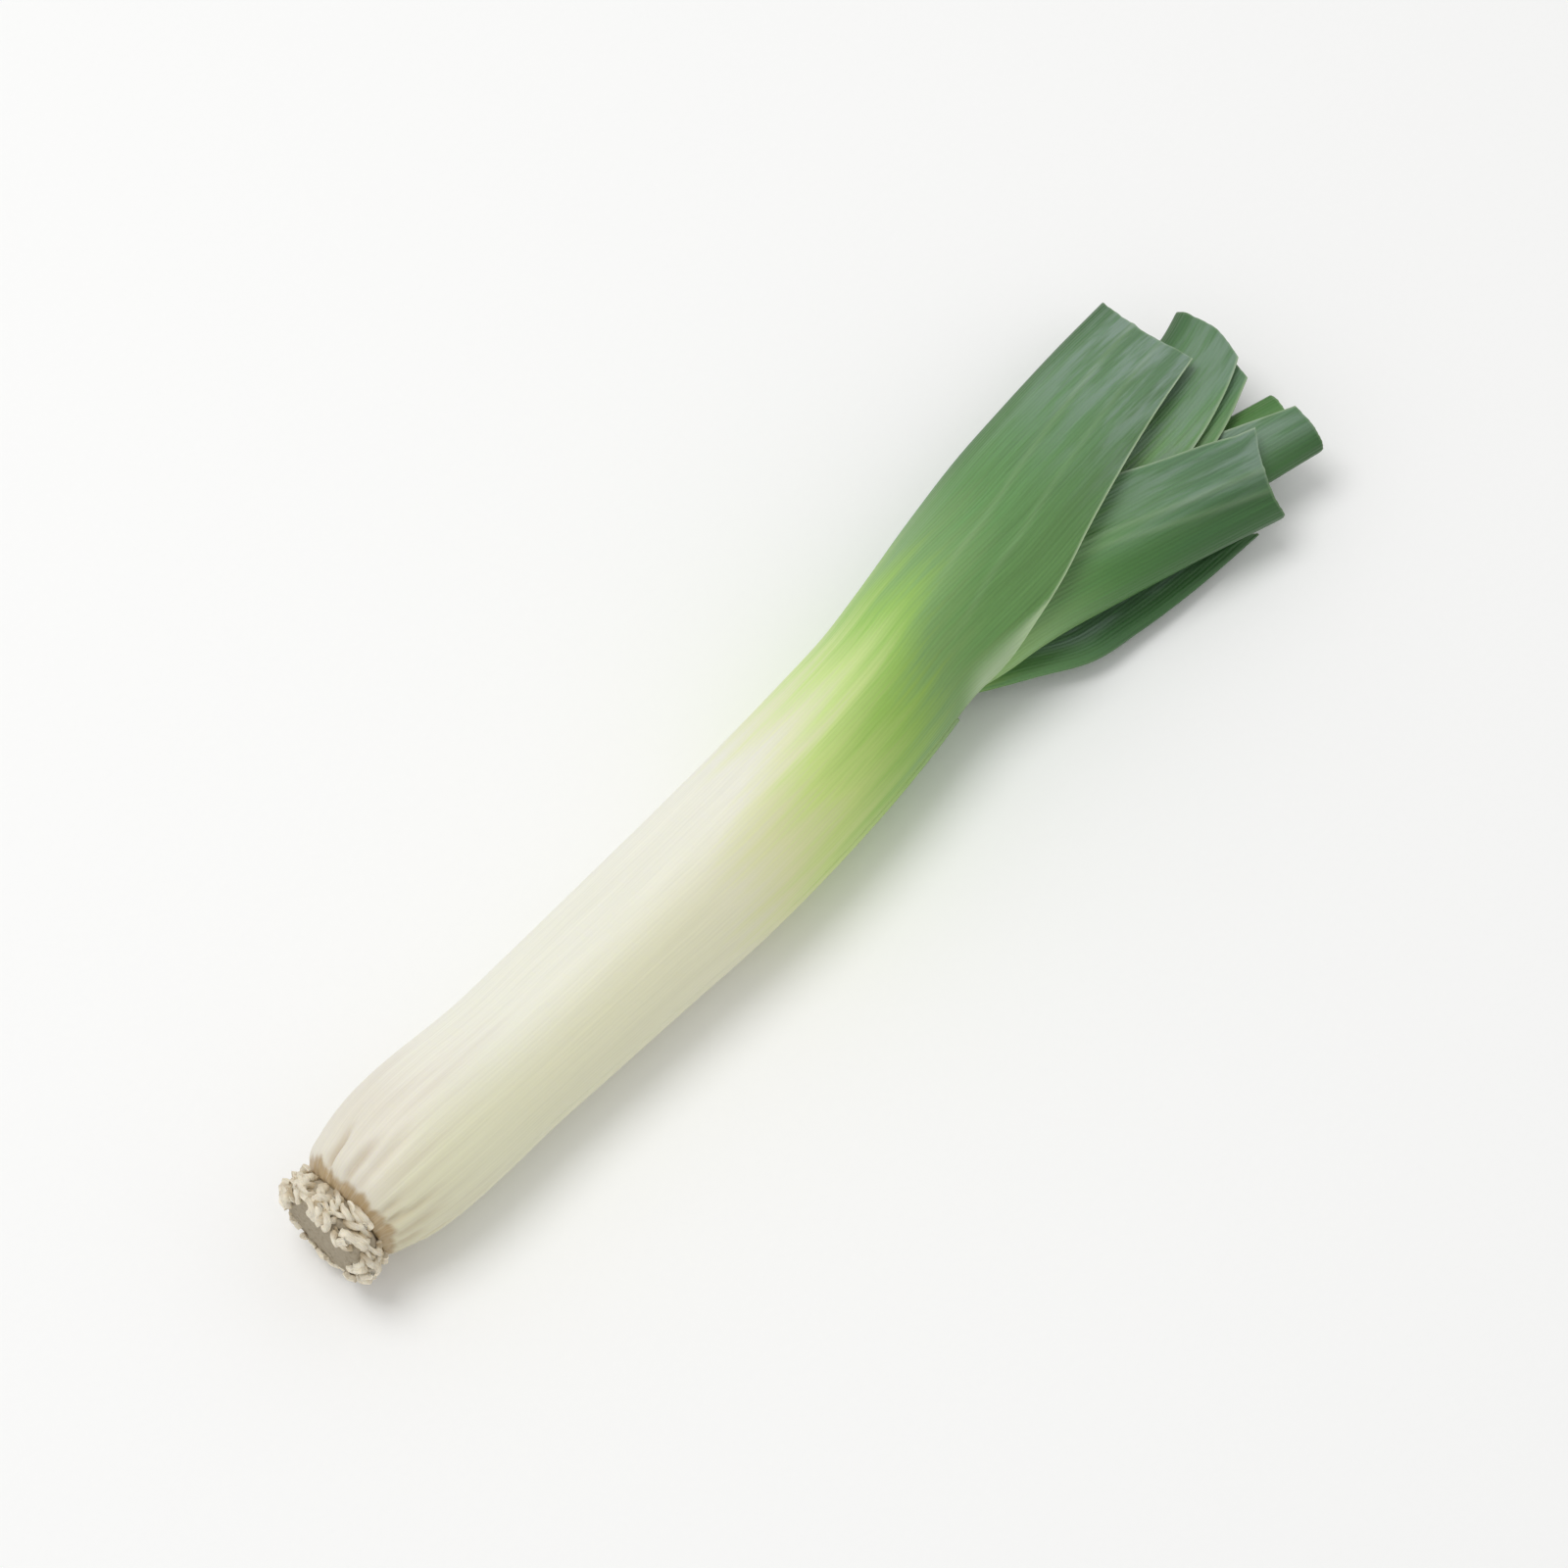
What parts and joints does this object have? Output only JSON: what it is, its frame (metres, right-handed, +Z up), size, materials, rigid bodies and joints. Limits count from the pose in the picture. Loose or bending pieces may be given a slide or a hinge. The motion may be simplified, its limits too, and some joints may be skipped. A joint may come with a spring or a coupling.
{
  "type": "leek",
  "caption": "Leek lying on its side: a pale shank of wrapped leaf sheaths with a trimmed root plate, opening into a flat fan of folded green leaves cut straight across. Eaten cooked.",
  "frame": {"origin": "on the surface that the leek lies on, below the middle of its length and of its width", "axes": "+X runs along the shank from the roots to the cut ends of the leaves, +Y across the flat fan of leaves towards the keel of the outer leaf, +Z up"},
  "size_m": [0.3603, 0.0826, 0.0443],
  "materials": {
    "sheath_white_to_green": "waxy leaf skin, white at the roots, turning green towards the leaves, satin",
    "leaf_dark_green": "waxy leaf skin with a grey-blue bloom and fine lengthwise veins, satin",
    "leaf_mid_green": "waxy leaf skin with fine lengthwise veins, satin",
    "leaf_bright_green": "young leaf skin with fine lengthwise veins, satin",
    "dried_root": "dry trimmed roots and cut root plate, matt and fibrous"
  },
  "bodies": {
    "root": {"shank_and_outer_leaf": "sheath_white_to_green", "right_outer_leaf": "leaf_dark_green", "left_inner_leaf": "leaf_mid_green", "left_heart_leaf": "leaf_bright_green", "right_inner_leaf": "leaf_mid_green", "heart_leaf": "leaf_bright_green", "lower_right_leaf": "leaf_dark_green", "root_plate": "dried_root"}
  },
  "joints": []
}
